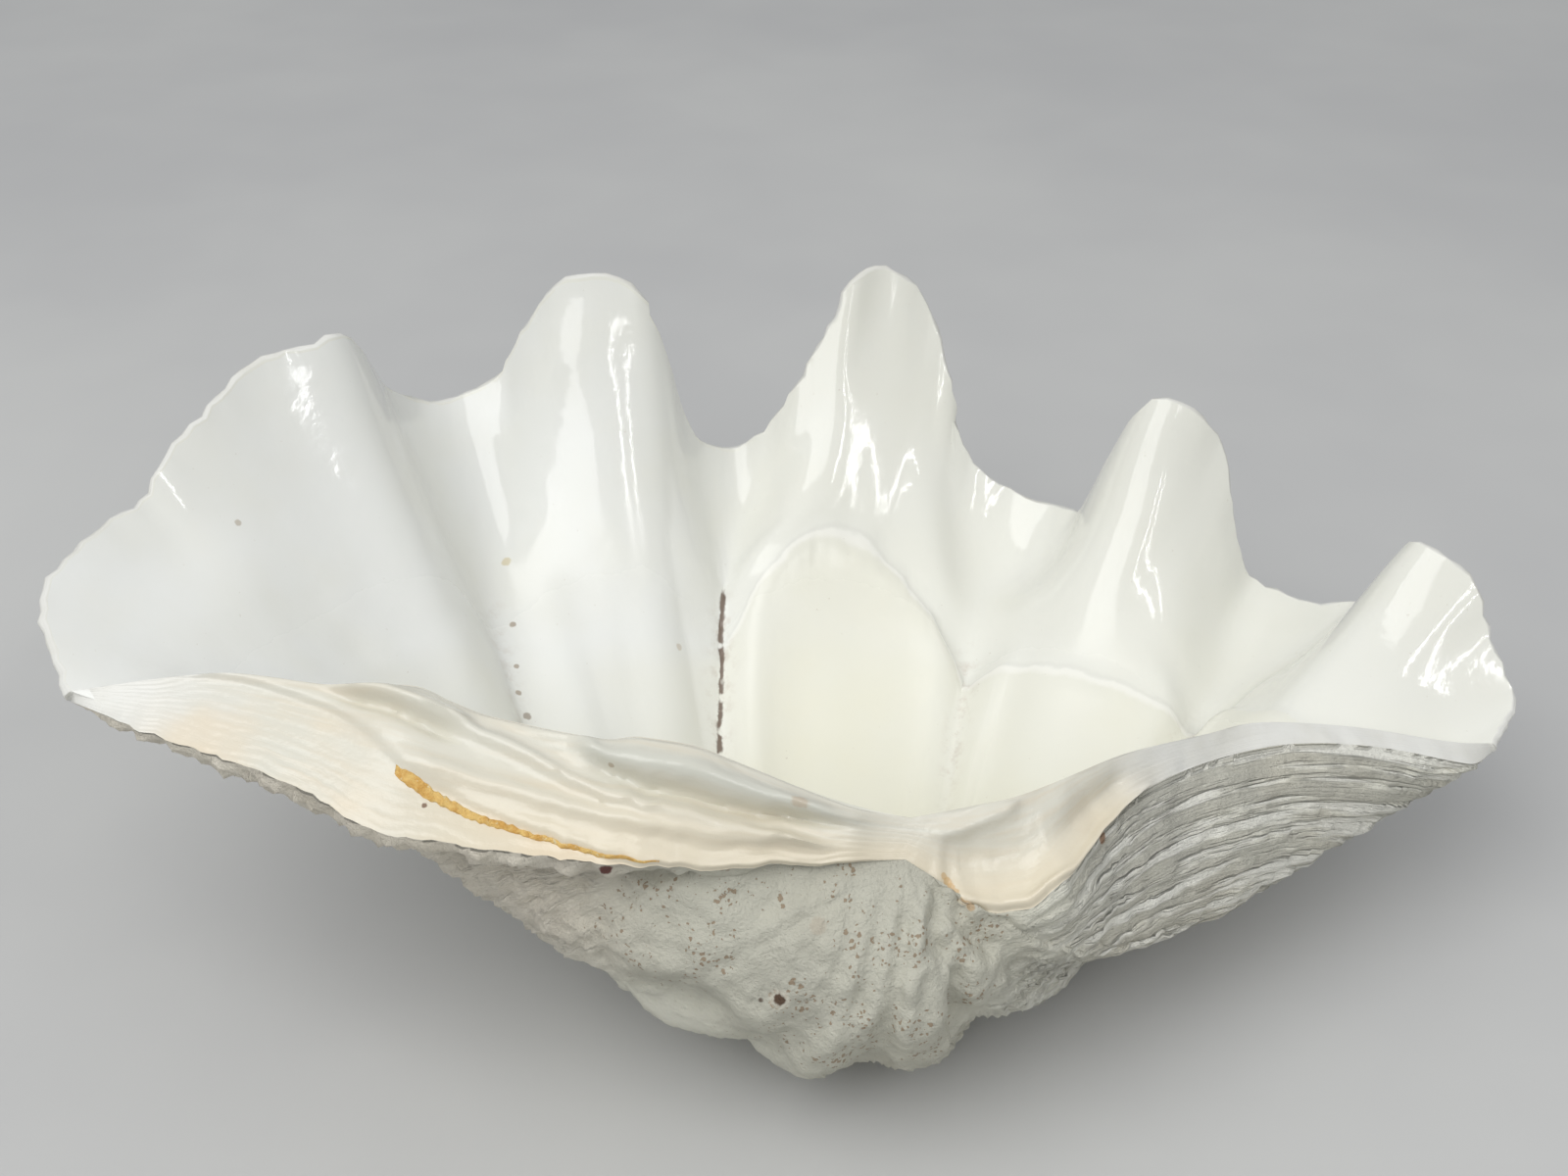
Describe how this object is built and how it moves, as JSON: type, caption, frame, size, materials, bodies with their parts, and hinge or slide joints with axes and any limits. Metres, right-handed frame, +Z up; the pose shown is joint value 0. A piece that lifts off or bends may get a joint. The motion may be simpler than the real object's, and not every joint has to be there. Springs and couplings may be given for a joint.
{
  "type": "giant clam shell",
  "caption": "One valve of a giant clam, lying on its ribs like an open bowl, with deep folds that end in tongues on the rim and a strip of dried ligament on the hinge",
  "frame": {"origin": "Middle of the bounding box in X and Y, on the surface that the valve lies on", "axes": "+X along the hinge to the right as seen from the beak, +Y from the beak toward the middle of the scalloped margin, +Z up out of the open side"},
  "size_m": [0.3408, 0.2264, 0.1278],
  "materials": {
    "valve": "porcelain gloss inside and on the hinge, rough and chalky outside",
    "ligament": "dry, cracked, half matte"
  },
  "bodies": {
    "root": {"valve": "valve", "ligament": "ligament"}
  },
  "joints": []
}
